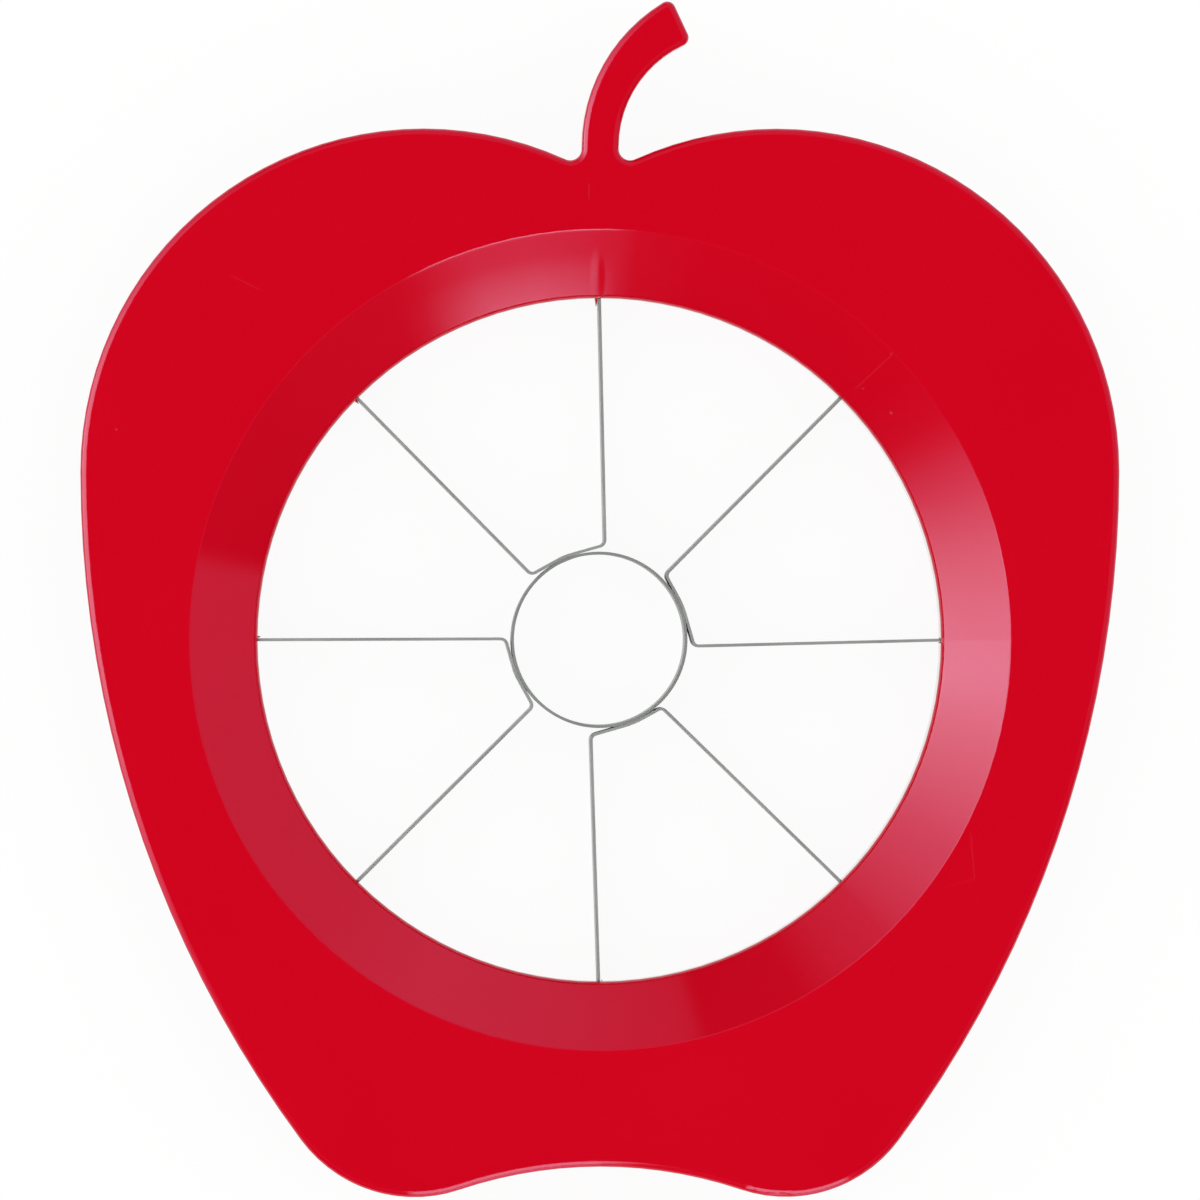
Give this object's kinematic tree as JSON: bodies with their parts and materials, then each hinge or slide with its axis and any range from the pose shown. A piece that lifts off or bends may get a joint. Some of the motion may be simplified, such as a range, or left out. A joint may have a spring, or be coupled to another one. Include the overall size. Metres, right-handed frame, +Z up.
{
  "type": "apple slicer and corer",
  "caption": "Hand-pressed apple slicer: apple-shaped moulded plate with a stem, and a funnel round an opening crossed by thin bent blades that meet at a core ring.",
  "frame": {"origin": "on the core ring's axis, in the base plane where the collar and the cutting edges rest", "axes": "+Z up through the plate, away from the cutting edges; +Y towards the stem; +X to the right when seen from above"},
  "size_m": [0.1456, 0.1675, 0.02],
  "materials": {
    "red_plastic": "glossy moulded red",
    "ring_steel": "rolled stainless strip with a ground lower edge",
    "blade_steel": "rolled stainless strip with ground lower edges"
  },
  "bodies": {
    "root": {"moulded_frame": "red_plastic", "core_ring": "ring_steel", "blade_strip_upper_right": "blade_steel", "blade_strip_upper_left": "blade_steel", "blade_strip_lower_left": "blade_steel", "blade_strip_lower_right": "blade_steel"}
  },
  "joints": []
}
